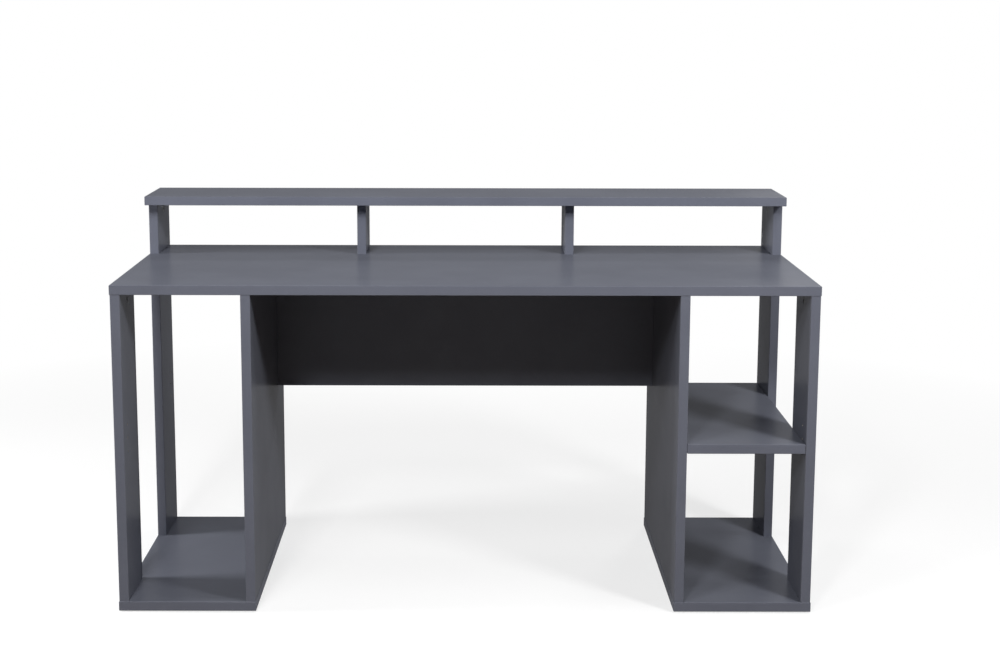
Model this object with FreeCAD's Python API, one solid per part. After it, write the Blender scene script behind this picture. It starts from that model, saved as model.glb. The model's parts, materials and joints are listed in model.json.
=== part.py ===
import FreeCAD
import Part
import math
import os

from FreeCAD import Vector

# Gaming desk: a worktop on two open pedestals, with a modesty panel and a monitor riser.
# Millimetres. Origin on the floor under the middle of the worktop, X to the right, Y to the back, Z up.

# Boards
board = 22.0                  # thickness of every board
edge_bevel = 0.8              # bevel where the edge banding is trimmed
worktop_width = 1600.0
worktop_depth = 600.0
upright_height = 721.0        # posts and inner panels, from base plate to worktop
reveal = 1.0                  # how far the uprights stand in from the edges of the boards they join
pedestal_width = 317.0
post_depth = 150.0
modesty_height = 328.0
modesty_from_back = 95.0      # clear depth behind the modesty panel
riser_depth = 195.0
riser_leg_height = 129.0
riser_leg_depth = 150.0

# Loose shelf and its supports
shelf_side_gap = 1.0
shelf_front_setback = 2.0
shelf_back_setback = 14.0
shelf_rest_gap = 0.2          # clearance between the loose shelf and its supports
support_row_count = 3
support_row_pitch = 32.0
support_first_row = 347.0     # height of the lowest row above the base plate
support_setback = 42.0        # from the edge of a post or panel to the hole
support_hole_diameter = 5.0
support_pin_length = 10.0
support_hole_spare = 2.0      # depth of the hole beyond the pin's end
support_drop = 7.5            # from the shelf's underside down to the pin
support_width = 10.0
support_reach = 13.0
support_wall = 2.0
support_below_pin = 4.0

# Cam fittings: a disc in the face of one board grips a bolt screwed into the other
cam_diameter = 15.0
cam_backset = 24.0            # from the joint to the middle of the disc
cam_floor = 1.25              # depth of the housing below the bolt
cam_sink = 0.4                # disc face below the board's face
cam_driver_length = 9.0
cam_driver_width = 1.6
cam_driver_depth = 2.5
bolt_thread_diameter = 5.0
bolt_thread_length = 11.0
bolt_shank_diameter = 6.5
bolt_bore_gap = 0.75          # clearance round the shank in its bore
bolt_neck_diameter = 4.0
bolt_head_length = 3.0
panel_cam_setback = 60.0      # from the front and back edges of an inner panel

# Dowels and screws
fitting_sides = 8             # hidden round stock and its holes are drawn with this many sides
dowel_diameter = 8.0
dowel_length = 30.0
dowel_in_face = 10.0          # length of a dowel inside the board whose face is drilled
post_dowel_setback = 25.0     # from the outer edge of a post
leg_dowel_setback = 45.0      # from the front and back edges of a riser leg
modesty_dowel_setback = 60.0  # from the top and bottom edges of the modesty panel
screw_diameter = 5.0
screw_length = 50.0
screw_head_diameter = 10.0
panel_screw_setback = 90.0    # from the front and back edges of an inner panel
drill_overrun = 0.5           # extra depth at the bottom of a blind hole
snug = 0.05                   # clearance between a fitting and the wall of its hole

# Glides
glide_height = 3.0
glide_width = 22.0
glide_bevel = 1.0
glide_inset = 25.0            # from the edges of a base plate to the middle of a glide

# Levels and planes that several pieces share
base_top = glide_height + board
worktop_bottom = base_top + upright_height
worktop_top = worktop_bottom + board
riser_bottom = worktop_top + riser_leg_height
front = -worktop_depth / 2
back = worktop_depth / 2
upright_front = front + reveal
upright_back = back - reveal
post_outer = worktop_width / 2 - reveal
post_inner = post_outer - board
knee_face = worktop_width / 2 - pedestal_width + reveal
bay_face = knee_face + board
modesty_back = back - modesty_from_back
modesty_front = modesty_back - board
modesty_bottom = worktop_bottom - modesty_height
first_row = base_top + support_first_row
support_holes_y = (upright_front + support_setback, upright_back - support_setback)
shelf_bottom = first_row + support_drop + shelf_rest_gap
bolt_above_floor = bolt_shank_diameter / 2 + cam_floor
cam_housing_depth = board / 2 + bolt_above_floor
sides = (("left", -1), ("right", 1))
UP = Vector(0, 0, 1)
RIGHT = Vector(1, 0, 0)

boards = {}
drillings = {}
fittings = {}


def board_between(name, across, along, upward):
    """Notes a board by its spans along X, Y and Z."""
    boards[name] = (sorted(across), sorted(along), sorted(upward))
    drillings[name] = []


def add_fitting(group, solid):
    fittings.setdefault(group, []).append(solid)


def placed(solid, origin, x_direction, z_direction):
    """Moves a solid from its own axes to a place on the desk."""
    y_direction = z_direction.cross(x_direction)
    turn = FreeCAD.Rotation(x_direction, y_direction, z_direction, "ZXY")
    solid.Placement = FreeCAD.Placement(origin, turn)
    return solid


def box_centred(length, width, height, start_x, start_z):
    """Box from start_x along X, centred on Y, from start_z up."""
    return Part.makeBox(length, width, height, Vector(start_x, -width / 2, start_z))


def flat_face(corners):
    return Part.Face(Part.makePolygon(corners + corners[:1]))


def extruded(outline, width):
    """Prism from (x, z) corners, centred on Y."""
    return flat_face([Vector(x, -width / 2, z) for x, z in outline]).extrude(Vector(0, width, 0))


def ring(diameter, middle, direction):
    """Corners of many-sided round stock, square to direction."""
    first = RIGHT if abs(direction.z) > 0.5 else UP
    second = direction.cross(first)
    corners = []
    for step in range(fitting_sides):
        turn = 2 * math.pi * step / fitting_sides
        corners.append(middle + (first * math.cos(turn) + second * math.sin(turn)) * (diameter / 2))
    return corners


def rod(diameter, start, direction, length):
    return flat_face(ring(diameter, start, direction)).extrude(direction * length)


def taper(start_diameter, end_diameter, start, direction, length):
    """Many-sided cone frustum."""
    near = ring(start_diameter, start, direction)
    far = ring(end_diameter, start + direction * length, direction)
    faces = [flat_face(near), flat_face(far)]
    for step in range(fitting_sides):
        faces.append(flat_face([near[step - 1], near[step], far[step], far[step - 1]]))
    return Part.Solid(Part.Shell(faces))


def drill(name, mouth, direction, diameter, depth):
    """Round hole that shows."""
    drillings[name].append(Part.makeCylinder(diameter / 2, depth, mouth, direction))


def bore(name, mouth, direction, diameter, depth):
    """Hole that a fitting fills and hides."""
    drillings[name].append(rod(diameter, mouth, direction, depth))


def board_solid(name):
    """Board with its broad faces' edges bevelled and all its holes drilled."""
    spans = boards[name]
    size = [high - low for low, high in spans]
    solid = Part.makeBox(*size, Vector(*[low for low, high in spans]))
    thickness_axis = size.index(min(size))
    rims = []
    for edge in solid.Edges:
        run = edge.Vertexes[1].Point - edge.Vertexes[0].Point
        if abs(run[thickness_axis]) < board / 2:
            rims.append(edge)
    solid = solid.makeChamfer(edge_bevel, rims)
    if drillings[name]:
        solid = solid.cut(drillings[name])
    return solid


def cam_disc():
    """Disc along +Z from its inner end, with a slot for the bolt towards -X and a crossed driver recess."""
    height = cam_housing_depth - cam_sink
    slot_width = bolt_shank_diameter + 4 * snug
    slot_end = slot_width / 2 + bolt_head_length / 2
    disc = Part.makeCylinder(cam_diameter / 2 - snug, height)
    slot_height = bolt_above_floor + slot_width / 2
    slot = box_centred(cam_diameter + slot_end, slot_width, slot_height, -cam_diameter, 0)
    recess_floor = height - cam_driver_depth
    blades = ((cam_driver_length, cam_driver_width), (cam_driver_width, cam_driver_length))
    recess = [
        box_centred(length, width, cam_driver_depth, -length / 2, recess_floor)
        for length, width in blades
    ]
    return disc.cut([slot] + recess)


def cam_bolt(joint, inward):
    """Bolt through the joint: thread behind it, then shank, neck and head."""
    head_start = cam_backset - bolt_head_length / 2
    neck_start = head_start - bolt_head_length
    thread = rod(bolt_thread_diameter - 2 * snug, joint, -inward, bolt_thread_length)
    shank = rod(bolt_shank_diameter, joint, inward, neck_start)
    neck = rod(bolt_neck_diameter, joint + inward * neck_start, inward, bolt_head_length)
    head = rod(bolt_shank_diameter, joint + inward * head_start, inward, bolt_head_length)
    return thread.fuse([shank, neck, head])


def cam_joint(group, face_board, edge_board, joint, inward, disc_face):
    """Cam fitting: its bolt stands in face_board at joint, its disc in the disc_face side of edge_board."""
    disc_middle = joint + inward * cam_backset
    mouth = disc_middle + disc_face * (board / 2)
    bore(face_board, joint, -inward, bolt_thread_diameter, bolt_thread_length + drill_overrun)
    bore(edge_board, joint, inward, bolt_shank_diameter + 2 * bolt_bore_gap, cam_backset)
    drill(edge_board, mouth, -disc_face, cam_diameter, cam_housing_depth)
    add_fitting(group + "_cam_bolts", cam_bolt(joint, inward))
    seat = mouth - disc_face * cam_housing_depth
    add_fitting(group + "_cam_discs", placed(cam_disc(), seat, inward, disc_face))


def dowel_joint(group, face_board, edge_board, joint, inward):
    """Dowel across the joint between face_board and the edge of edge_board."""
    bore(face_board, joint, -inward, dowel_diameter, dowel_in_face + drill_overrun)
    bore(edge_board, joint, inward, dowel_diameter, dowel_length - dowel_in_face + drill_overrun)
    dowel = rod(dowel_diameter - 2 * snug, joint - inward * dowel_in_face, inward, dowel_length)
    add_fitting(group + "_dowels", dowel)


def screw_joint(face_board, edge_board, joint):
    """Countersunk screw from below through face_board into the lower end of edge_board."""
    head_point = joint - UP * board
    sink = (screw_head_diameter - screw_diameter) / 2
    drillings[face_board].append(taper(screw_head_diameter, screw_diameter, head_point, UP, sink))
    bore(face_board, head_point, UP, screw_diameter, board)
    bore(edge_board, joint, UP, screw_diameter, screw_length - board + drill_overrun)
    head = taper(screw_head_diameter - 2 * snug, screw_diameter - 2 * snug, head_point, UP, sink)
    shank = rod(screw_diameter - 2 * snug, head_point + UP * sink, UP, screw_length - sink)
    add_fitting("base_screws", head.fuse(shank))


def shelf_support():
    """Moulded angle with a gusset: pin towards -X on the axis Z = 0, tongue under the shelf."""
    under_tongue = support_drop - support_wall
    angle = extruded([
        (0, -support_below_pin),
        (support_wall, -support_below_pin),
        (support_wall, under_tongue),
        (support_reach, under_tongue),
        (support_reach, support_drop),
        (0, support_drop),
    ], support_width)
    gusset = extruded([
        (support_wall, -support_below_pin),
        (support_reach - support_wall, under_tongue),
        (support_wall, under_tongue),
    ], support_wall)
    pin = rod(support_hole_diameter - 2 * snug, Vector(0, 0, 0), -RIGHT, support_pin_length)
    return angle.fuse([gusset, pin]).removeSplitter()


def glide():
    """Square stick-on glide with a bevelled foot."""
    pad = box_centred(glide_width, glide_width, glide_height, -glide_width / 2, 0)
    foot_rim = [edge for edge in pad.Edges if edge.BoundBox.ZMax < glide_height / 2]
    return pad.makeChamfer(glide_bevel, foot_rim)


def lay_out_worktop():
    board_between(
        "worktop",
        (-worktop_width / 2, worktop_width / 2),
        (front, back),
        (worktop_bottom, worktop_top),
    )


def lay_out_inner_panel(side, sign, base_plate):
    panel = side + "_inner_panel"
    outward = RIGHT * sign
    middle_x = sign * (knee_face + bay_face) / 2
    board_between(
        panel,
        (sign * knee_face, sign * bay_face),
        (upright_front, upright_back),
        (base_top, worktop_bottom),
    )
    for y in (upright_front + panel_cam_setback, upright_back - panel_cam_setback):
        cam_joint("worktop", "worktop", panel, Vector(middle_x, y, worktop_bottom), -UP, outward)
    for y in (upright_front + panel_screw_setback, upright_back - panel_screw_setback):
        screw_joint(base_plate, panel, Vector(middle_x, y, base_top))
    for y in support_holes_y:
        drill_support_rows(panel, sign * bay_face, y, -outward)


def lay_out_post(post, sign, base_plate, edge, into, holes_y):
    """Post from its front or rear edge, which faces away from the direction into along Y."""
    outward = RIGHT * sign
    middle_x = sign * (post_inner + post_outer) / 2
    middle_y = edge + into * post_depth / 2
    board_between(
        post,
        (sign * post_inner, sign * post_outer),
        (edge, edge + into * post_depth),
        (base_top, worktop_bottom),
    )
    cam_joint("worktop", "worktop", post, Vector(middle_x, middle_y, worktop_bottom), -UP, -outward)
    dowel_y = edge + into * post_dowel_setback
    dowel_joint("worktop", "worktop", post, Vector(middle_x, dowel_y, worktop_bottom), -UP)
    screw_joint(base_plate, post, Vector(middle_x, middle_y, base_top))
    drill_support_rows(post, sign * post_inner, holes_y, outward)


def drill_support_rows(upright, face_x, y, direction):
    for row in range(support_row_count):
        mouth = Vector(face_x, y, first_row + row * support_row_pitch)
        drill(upright, mouth, direction, support_hole_diameter, support_pin_length + support_hole_spare)


def lay_out_pedestal(side, sign):
    base_plate = side + "_base_plate"
    inner_end = worktop_width / 2 - pedestal_width
    outer_end = worktop_width / 2
    board_between(base_plate, (sign * inner_end, sign * outer_end), (front, back), (glide_height, base_top))
    lay_out_inner_panel(side, sign, base_plate)
    front_holes_y, rear_holes_y = support_holes_y
    lay_out_post(side + "_front_post", sign, base_plate, upright_front, 1, front_holes_y)
    lay_out_post(side + "_rear_post", sign, base_plate, upright_back, -1, rear_holes_y)
    for x in (inner_end + glide_inset, outer_end - glide_inset):
        for y in (front + glide_inset, back - glide_inset):
            add_fitting("floor_glides", placed(glide(), Vector(sign * x, y, 0), RIGHT, UP))


def lay_out_modesty_panel():
    board_between(
        "modesty_panel",
        (-knee_face, knee_face),
        (modesty_front, modesty_back),
        (modesty_bottom, worktop_bottom),
    )
    middle_y = (modesty_front + modesty_back) / 2
    for side, sign in sides:
        for z in (modesty_bottom + modesty_dowel_setback, worktop_bottom - modesty_dowel_setback):
            joint = Vector(sign * knee_face, middle_y, z)
            dowel_joint("modesty", side + "_inner_panel", "modesty_panel", joint, -RIGHT * sign)


def lay_out_shelf():
    board_between(
        "storage_shelf",
        (bay_face + shelf_side_gap, post_inner - shelf_side_gap),
        (front + shelf_front_setback, back - shelf_back_setback),
        (shelf_bottom, shelf_bottom + board),
    )
    for y in support_holes_y:
        for face_x, into_bay in ((bay_face, RIGHT), (post_inner, -RIGHT)):
            add_fitting("shelf_supports", placed(shelf_support(), Vector(face_x, y, first_row), into_bay, UP))


def lay_out_riser():
    board_between(
        "riser_top",
        (-worktop_width / 2, worktop_width / 2),
        (back - riser_depth, back),
        (riser_bottom, riser_bottom + board),
    )
    places = ("left_end", "left_middle", "right_middle", "right_end")
    pitch = (2 * post_outer - board) / (len(places) - 1)
    leg_front = upright_back - riser_leg_depth
    middle_y = (leg_front + upright_back) / 2
    for step, place in enumerate(places):
        leg = f"riser_{place}_leg"
        middle_x = -post_outer + board / 2 + step * pitch
        to_centre = RIGHT * math.copysign(1, -middle_x)
        board_between(
            leg,
            (middle_x - board / 2, middle_x + board / 2),
            (leg_front, upright_back),
            (worktop_top, riser_bottom),
        )
        cam_joint("riser", "riser_top", leg, Vector(middle_x, middle_y, riser_bottom), -UP, to_centre)
        for y in (leg_front + leg_dowel_setback, upright_back - leg_dowel_setback):
            dowel_joint("riser", "worktop", leg, Vector(middle_x, y, worktop_top), UP)


def write_parts():
    os.makedirs("parts", exist_ok=True)
    for name in boards:
        board_solid(name).exportStep(f"parts/{name}.step")
    for group, solids in fittings.items():
        Part.makeCompound(solids).exportStep(f"parts/{group}.step")


lay_out_worktop()
for side_name, side_sign in sides:
    lay_out_pedestal(side_name, side_sign)
lay_out_modesty_panel()
lay_out_shelf()
lay_out_riser()
write_parts()
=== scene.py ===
"""A graphite gaming desk with two open pedestals and a riser, on a pale floor in soft studio light."""
import json
import math

import bpy
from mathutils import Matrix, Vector


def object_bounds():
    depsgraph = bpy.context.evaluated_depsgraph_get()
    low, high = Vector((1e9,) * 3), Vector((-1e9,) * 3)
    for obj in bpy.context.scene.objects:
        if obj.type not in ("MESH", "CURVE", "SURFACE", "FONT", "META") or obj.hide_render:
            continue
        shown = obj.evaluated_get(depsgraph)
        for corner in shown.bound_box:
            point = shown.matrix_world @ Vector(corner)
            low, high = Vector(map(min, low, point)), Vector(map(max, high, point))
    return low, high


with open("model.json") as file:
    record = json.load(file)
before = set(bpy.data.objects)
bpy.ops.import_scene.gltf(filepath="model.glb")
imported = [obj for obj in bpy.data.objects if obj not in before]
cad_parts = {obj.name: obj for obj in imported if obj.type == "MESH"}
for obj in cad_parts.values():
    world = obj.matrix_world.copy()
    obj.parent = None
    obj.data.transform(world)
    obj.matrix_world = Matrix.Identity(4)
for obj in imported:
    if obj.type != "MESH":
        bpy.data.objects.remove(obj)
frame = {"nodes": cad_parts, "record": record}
cad_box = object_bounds()
nodes = frame["nodes"]
mounts = {mount["name"]: mount for mount in frame["record"]["mounts"]}
scene = bpy.context.scene

MILLIMETRE = 0.001

# Boards by the direction across their thickness
LYING = ("worktop", "left_base_plate", "right_base_plate", "storage_shelf", "riser_top")
UPRIGHT = (
    "left_inner_panel", "right_inner_panel",
    "left_front_post", "left_rear_post", "right_front_post", "right_rear_post",
    "riser_left_end_leg", "riser_left_middle_leg", "riser_right_middle_leg", "riser_right_end_leg",
)
CROSSWISE = ("modesty_panel",)

ACROSS_X = (1.0, 0.0, 0.0)
ACROSS_Y = (0.0, 1.0, 0.0)
ACROSS_Z = (0.0, 0.0, 1.0)

# Places of a Mix node's sockets, because its number and colour sockets share their names
MIX_FIRST_NUMBER = 2
MIX_SECOND_NUMBER = 3
MIX_FIRST_COLOUR = 6
MIX_SECOND_COLOUR = 7
MIX_NUMBER = 0
MIX_COLOUR = 2

WHITE = (1.0, 1.0, 1.0, 1.0)


class Shader:
    """A node tree that is filled node by node; an input takes a value or another node's output."""

    def __init__(self, tree):
        self.tree = tree
        tree.nodes.clear()

    def add(self, kind, inputs=None, **settings):
        node = self.tree.nodes.new(kind)
        for name, value in settings.items():
            setattr(node, name, value)
        for socket, value in (inputs or {}).items():
            if isinstance(value, bpy.types.NodeSocket):
                self.tree.links.new(value, node.inputs[socket])
            else:
                node.inputs[socket].default_value = value
        return node

    def place(self, stretch=(1.0, 1.0, 1.0)):
        """The point on the piece in metres, stretched along each axis."""
        here = self.add("ShaderNodeTexCoord").outputs["Object"]
        return self.add("ShaderNodeMapping", {"Vector": here, "Scale": stretch}).outputs["Vector"]

    def noise(self, place, per_metre=1.0, detail=2.0, roughness=0.5):
        """Soft random patches, so many to a metre of the place."""
        inputs = {"Vector": place, "Scale": per_metre, "Detail": detail, "Roughness": roughness}
        return self.add("ShaderNodeTexNoise", inputs).outputs["Fac"]

    def ranged(self, value, low=0.0, high=1.0, start=0.3, end=0.7):
        """The value's stretch from start to end spread from low to high; most noise is in 0.3 to 0.7."""
        inputs = {"Value": value, "From Min": start, "From Max": end, "To Min": low, "To Max": high}
        return self.add("ShaderNodeMapRange", inputs).outputs["Result"]

    def math(self, operation, first, second=0.0):
        return self.add("ShaderNodeMath", {0: first, 1: second}, operation=operation).outputs["Value"]

    def mixed_number(self, factor, first, second):
        inputs = {"Factor": factor, MIX_FIRST_NUMBER: first, MIX_SECOND_NUMBER: second}
        return self.add("ShaderNodeMix", inputs).outputs[MIX_NUMBER]

    def mixed(self, factor, first, second, how="MIX"):
        inputs = {"Factor": factor, MIX_FIRST_COLOUR: first, MIX_SECOND_COLOUR: second}
        node = self.add("ShaderNodeMix", inputs, data_type="RGBA", blend_type=how)
        return node.outputs[MIX_COLOUR]

    def tinted(self, tone, tint):
        return self.mixed(1.0, tone, tint, "MULTIPLY")

    def bump(self, height, depth, below=None):
        """Relief of a depth in metres, over any relief below it."""
        inputs = {"Height": height, "Distance": depth, "Strength": 1.0}
        if below is not None:
            inputs["Normal"] = below
        return self.add("ShaderNodeBump", inputs).outputs["Normal"]

    def emission(self, strength):
        return self.add("ShaderNodeEmission", {"Color": WHITE, "Strength": strength}).outputs["Emission"]

    def blended(self, factor, first, second):
        """The first surface where the factor is 0 and the second where it is 1."""
        return self.add("ShaderNodeMixShader", {0: factor, 1: first, 2: second}).outputs["Shader"]

    def surface(self, shader_output):
        self.add("ShaderNodeOutputMaterial", {"Surface": shader_output})

    def principled_surface(self, inputs):
        self.surface(self.add("ShaderNodeBsdfPrincipled", inputs).outputs["BSDF"])


def new_material(name):
    material = bpy.data.materials.new(name)
    material.use_nodes = True
    return material, Shader(material.node_tree)


def grey(value):
    return (value, value, value, 1.0)


def sides_and_corners(shader, across):
    """Two masks from the surface's direction: a board's narrow sides, and the eased corners beside them."""
    side_limit = 0.5
    corner_flatness = math.cos(math.pi / 4)
    corner_spread = 0.1
    normal = shader.add("ShaderNodeNewGeometry").outputs["True Normal"]
    inputs = {0: normal, 1: across}
    facing = shader.add("ShaderNodeVectorMath", inputs, operation="DOT_PRODUCT").outputs["Value"]
    flatness = shader.math("ABSOLUTE", facing)
    sides = shader.math("LESS_THAN", flatness, side_limit)
    inputs = {0: flatness, 1: corner_flatness, 2: corner_spread}
    corners = shader.add("ShaderNodeMath", inputs, operation="COMPARE").outputs["Value"]
    return sides, corners


def near_support_holes(shader, here, holes):
    """1 close round the drilled rows, whose places the mount gives, and 0 elsewhere."""
    radii_reached = 1.2
    pitches_between_outer_rows = 2
    sizes = holes["dims"]
    reach = radii_reached * sizes["hole_r_mm"] * MILLIMETRE
    from_middle = sizes["spacing_x_mm"] / 2 * MILLIMETRE
    row_pitch = sizes["spacing_y_mm"] / pitches_between_outer_rows * MILLIMETRE
    place = shader.add("ShaderNodeSeparateXYZ", {"Vector": here}).outputs
    sideways = shader.math("SUBTRACT", shader.math("ABSOLUTE", place["Y"]), from_middle)
    in_column = shader.math("LESS_THAN", shader.math("ABSOLUTE", sideways), reach)
    upwards = shader.math("SUBTRACT", place["Z"], holes["pos_m"][2])
    in_row = shader.math("LESS_THAN", shader.math("PINGPONG", upwards, row_pitch / 2), reach)
    return shader.math("MULTIPLY", in_column, in_row)


def chipboard(shader, flecks):
    """Pale pressed chips inside a board."""
    dark_chip = (0.30, 0.27, 0.24, 1.0)
    light_chip = (0.46, 0.42, 0.37, 1.0)
    return shader.mixed(shader.ranged(flecks), dark_chip, light_chip)


def melamine(name, across, holes=None):
    """Satin graphite melamine: pressed pearl grain on the faces, smoother banding on the narrow sides,
    painted lighter partly as the banding's own tone and partly as painted light, and a painted highlight on
    the eased corners.

    The support holes go through it into the pale chipboard inside.
    """
    dark_tone = (0.112, 0.118, 0.145, 1.0)
    light_tone = (0.124, 0.131, 0.160, 1.0)
    dark_fleck = grey(0.93)
    light_fleck = grey(1.07)
    # narrow sides lighter: partly the banding's own tone, partly painted light standing for the lit edges
    banding_tone_and_painted_light = (1.21, 1.22, 1.25, 1.0)
    # painted highlight on the eased corners
    painted_corner_highlight = grey(1.18)
    streaks_per_metre = 1300.0
    streaks_lengthwise = 9.0

    material, shader = new_material(name)
    here = shader.place()
    clouds = shader.noise(here, per_metre=7.0, detail=4.0)
    flecks = shader.noise(here, per_metre=1500.0)
    pearls = shader.noise(here, per_metre=620.0, detail=3.0, roughness=0.6)
    drawn = [streaks_lengthwise + streaks_per_metre * part for part in across]
    streaks = shader.noise(shader.place(stretch=drawn))
    banding, corners = sides_and_corners(shader, across)

    tone = shader.mixed(shader.ranged(clouds), dark_tone, light_tone)
    tone = shader.tinted(tone, shader.mixed(shader.ranged(flecks), dark_fleck, light_fleck))
    # painted light: the narrow sides are lightened, partly as the banding's own tone and partly for how the
    # lamps light the edges
    tone = shader.mixed(banding, tone, shader.tinted(tone, banding_tone_and_painted_light))
    # painted highlight: the eased corners are lightened as if catching the light
    tone = shader.mixed(corners, tone, shader.tinted(tone, painted_corner_highlight))
    if holes:
        drilled = shader.math("MULTIPLY", banding, near_support_holes(shader, here, holes))
        tone = shader.mixed(drilled, tone, chipboard(shader, flecks))

    face_roughness = shader.ranged(clouds, low=0.56, high=0.64)
    side_roughness = shader.ranged(streaks, low=0.50, high=0.60)
    faces = shader.math("SUBTRACT", 1.0, banding)
    grain = shader.bump(shader.math("MULTIPLY", pearls, faces), depth=0.00006)
    grain = shader.bump(shader.math("MULTIPLY", streaks, banding), depth=0.00002, below=grain)
    shader.principled_surface({
        "Base Color": tone,
        "Roughness": shader.mixed_number(banding, face_roughness, side_roughness),
        "Specular IOR Level": 0.0,
        "Coat Weight": 0.12,
        "Coat Roughness": 0.25,
        "Normal": grain,
    })
    return material


def die_cast_zinc():
    """Dull grey cast metal of the cam discs, with a fine sandy skin and darker flow marks."""
    dark_cast = grey(0.13)
    light_cast = grey(0.21)
    material, shader = new_material("die_cast_zinc")
    here = shader.place()
    sand = shader.noise(here, per_metre=2600.0, detail=3.0)
    flow = shader.noise(here, per_metre=240.0, detail=4.0)
    shader.principled_surface({
        "Base Color": shader.mixed(shader.ranged(flow), dark_cast, light_cast),
        "Metallic": 1.0,
        "Specular Tint": grey(0.3),
        "Roughness": shader.ranged(sand, low=0.38, high=0.58),
        "Normal": shader.bump(sand, depth=0.00003),
    })
    return material


def zinc_plated_steel():
    """Bright plated screws and bolts with a faint yellow and blue bloom."""
    yellow_bloom = (0.58, 0.57, 0.50, 1.0)
    blue_bloom = (0.60, 0.62, 0.66, 1.0)
    material, shader = new_material("zinc_plated_steel")
    bloom = shader.noise(shader.place(), per_metre=160.0, detail=3.0)
    turning = shader.noise(shader.place(stretch=(300.0, 300.0, 6000.0)))
    shader.principled_surface({
        "Base Color": shader.mixed(shader.ranged(bloom), yellow_bloom, blue_bloom),
        "Metallic": 1.0,
        "Roughness": shader.ranged(turning, low=0.24, high=0.40),
        "Normal": shader.bump(turning, depth=0.00001),
    })
    return material


def raw_beech():
    """Pale dowel wood with short darker rays along the grain."""
    dark_wood = (0.52, 0.35, 0.20, 1.0)
    light_wood = (0.68, 0.50, 0.33, 1.0)
    ray_wood = (0.36, 0.22, 0.12, 1.0)
    material, shader = new_material("raw_beech")
    grain = shader.noise(shader.place(stretch=(1800.0, 1800.0, 90.0)), detail=4.0)
    rays = shader.noise(shader.place(stretch=(3200.0, 3200.0, 420.0)))
    tone = shader.mixed(shader.ranged(grain), dark_wood, light_wood)
    shader.principled_surface({
        "Base Color": shader.mixed(shader.ranged(rays, high=0.5, start=0.6), tone, ray_wood),
        "Roughness": shader.ranged(grain, low=0.62, high=0.75),
        "Normal": shader.bump(grain, depth=0.00005),
    })
    return material


def moulded_plastic(name, tone, sparks_per_metre):
    """Black moulded plastic with a spark-eroded skin and lighter scuffs."""
    scuff_lightness = 1.5
    material, shader = new_material(name)
    here = shader.place()
    sparks = shader.noise(here, per_metre=sparks_per_metre, detail=3.0)
    scuffs = shader.noise(here, per_metre=90.0, detail=5.0)
    shader.principled_surface({
        "Base Color": shader.mixed(shader.ranged(scuffs), grey(tone), grey(scuff_lightness * tone)),
        "Roughness": shader.ranged(sparks, low=0.44, high=0.62),
        "Normal": shader.bump(sparks, depth=0.00004),
    })
    return material


def dress(material, *names):
    for name in names:
        slots = nodes[name].data.materials
        slots.clear()
        slots.append(material)


def dress_desk():
    dress(melamine("melamine_lying", ACROSS_Z), *LYING)
    dress(melamine("melamine_upright", ACROSS_X, mounts["left_post_support_holes"]), *UPRIGHT)
    dress(melamine("melamine_crosswise", ACROSS_Y), *CROSSWISE)
    dress(die_cast_zinc(), "worktop_cam_discs", "riser_cam_discs")
    dress(zinc_plated_steel(), "worktop_cam_bolts", "riser_cam_bolts", "base_screws")
    dress(raw_beech(), "worktop_dowels", "riser_dowels", "modesty_dowels")
    dress(moulded_plastic("support_plastic", tone=0.06, sparks_per_metre=2400.0), "shelf_supports")
    dress(moulded_plastic("glide_plastic", tone=0.04, sparks_per_metre=1200.0), "floor_glides")


def seen_directly(shader):
    """1 for the rays in which this is seen, mirrored or not, and 0 for the rays that light the desk."""
    path = shader.add("ShaderNodeLightPath").outputs
    reflected = shader.math("MAXIMUM", path["Is Glossy Ray"], path["Is Transmission Ray"])
    return shader.math("MAXIMUM", path["Is Camera Ray"], reflected)


def pale_floor():
    """Pale paper under the desk that keeps its shadow, passing into plain white further away."""
    bounce = (0.34, 0.30, 0.26, 1.0)
    shadow_share = 0.35
    dark_speck = 0.98
    light_speck = 1.02
    lift = 0.68
    shadow_reach = 1.3
    white_reach = 2.8

    material, shader = new_material("pale_floor")
    here = shader.place()
    specks = shader.ranged(shader.noise(here, per_metre=40.0, detail=4.0))
    paper = shader.mixed(specks, grey(dark_speck * shadow_share), grey(light_speck * shadow_share))
    shaded = shader.add("ShaderNodeBsdfDiffuse", {"Color": paper}).outputs["BSDF"]
    near = shader.add("ShaderNodeAddShader", {0: shaded, 1: shader.emission(lift)}).outputs["Shader"]
    far = shader.emission(1.0)
    distance = shader.add("ShaderNodeVectorMath", {0: here}, operation="LENGTH").outputs["Value"]
    away = shader.ranged(distance, start=shadow_reach, end=white_reach)
    shown = shader.blended(away, near, far)
    lighting = shader.add("ShaderNodeBsdfDiffuse", {"Color": bounce}).outputs["BSDF"]
    shader.surface(shader.blended(seen_directly(shader), lighting, shown))
    return material


def lay_floor():
    half_width = 14.0
    level = cad_box[0].z
    corners = [(-half_width, -half_width, level), (half_width, -half_width, level),
               (half_width, half_width, level), (-half_width, half_width, level)]
    mesh = bpy.data.meshes.new("floor")
    mesh.from_pydata(corners, [], [(0, 1, 2, 3)])
    mesh.materials.append(pale_floor())
    floor = bpy.data.objects.new("floor", mesh)
    scene.collection.objects.link(floor)


def light_world():
    """White where it is seen, and dark to the desk, which the lamps light."""
    world = bpy.data.worlds.new("studio")
    world.use_nodes = True
    scene.world = world
    shader = Shader(world.node_tree)
    background = shader.add("ShaderNodeBackground", {"Color": WHITE, "Strength": seen_directly(shader)})
    shader.add("ShaderNodeOutputWorld", {"Surface": background.outputs["Background"]})


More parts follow.
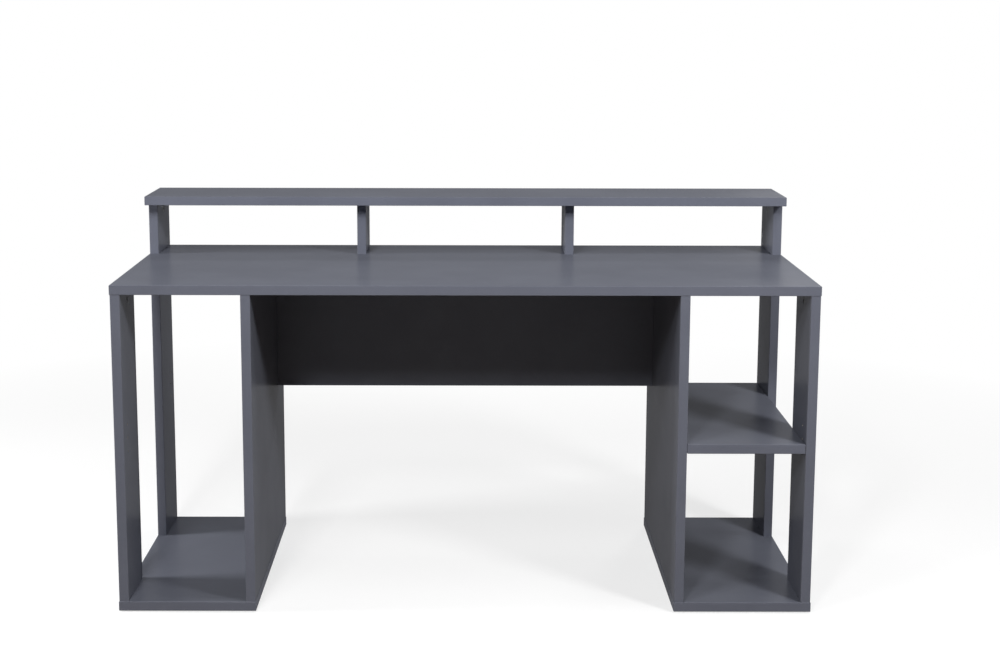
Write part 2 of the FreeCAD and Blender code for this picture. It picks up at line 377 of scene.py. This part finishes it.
def add_softbox(name, azimuth, elevation, distance, level, size=0.5, mirrored=True):
    """A square soft lamp turned towards the desk's middle; azimuth 0 is in front and 90 on the right.

    A level of 1 lights a face turned to the lamp so that its colour shows as it is written.
    A lamp that isn't mirrored leaves no highlight.
    """
    middle = (cad_box[0] + cad_box[1]) / 2
    turn = math.radians(azimuth)
    rise = math.radians(elevation)
    towards = Vector((math.sin(turn) * math.cos(rise), -math.cos(turn) * math.cos(rise), math.sin(rise)))
    lamp = bpy.data.lights.new(name, "AREA")
    lamp.size = size
    lamp.energy = level * (math.pi * distance) ** 2
    holder = bpy.data.objects.new(name, lamp)
    holder.location = middle + distance * towards
    holder.rotation_euler = towards.to_track_quat("Z", "Y").to_euler()
    holder.visible_glossy = mirrored
    scene.collection.objects.link(holder)


def light_desk():
    add_softbox("front_left_softbox", azimuth=-15, elevation=34, distance=4.5, level=0.31)
    add_softbox("front_right_softbox", azimuth=50, elevation=34, distance=3.0, level=0.41, size=0.4)
    add_softbox("high_left_softbox", azimuth=-30, elevation=48, distance=2.2, level=0.29)
    add_softbox("high_right_softbox", azimuth=60, elevation=55, distance=2.5, level=0.18)
    add_softbox("left_low_softbox", azimuth=-85, elevation=14, distance=3.0, level=0.72, mirrored=False)
    add_softbox("right_low_softbox", azimuth=85, elevation=8, distance=3.0, level=0.12, mirrored=False)
    add_softbox("rear_high_softbox", azimuth=180, elevation=70, distance=2.5, level=0.12)
    add_softbox("rear_right_softbox", azimuth=150, elevation=28, distance=3.0, level=0.14)
    add_softbox("rear_fill_softbox", azimuth=180, elevation=0, distance=3.5, level=0.30, size=0.8,
                mirrored=False)


def place_camera():
    """A view from the front and a little above; the shift keeps the uprights nearly parallel."""
    pixels_wide = 1000
    focal_pixels = 1526.0
    sensor_width = 36.0
    right_of_middle = 0.0017
    before_front = 3.3676
    height = 1.3814
    tilt_down = 0.1461
    roll = -0.0018

    data = bpy.data.cameras.new("camera")
    data.sensor_width = sensor_width
    data.lens = sensor_width * focal_pixels / pixels_wide
    data.shift_x = 0.0334
    data.shift_y = -0.10
    camera = bpy.data.objects.new("camera", data)
    camera.location = (right_of_middle, cad_box[0].y - before_front, height)
    camera.rotation_euler = (math.pi / 2 - tilt_down, roll, 0.0)
    scene.collection.objects.link(camera)
    scene.camera = camera


dress_desk()
lay_floor()
light_world()
light_desk()
place_camera()
scene.view_settings.view_transform = "Standard"
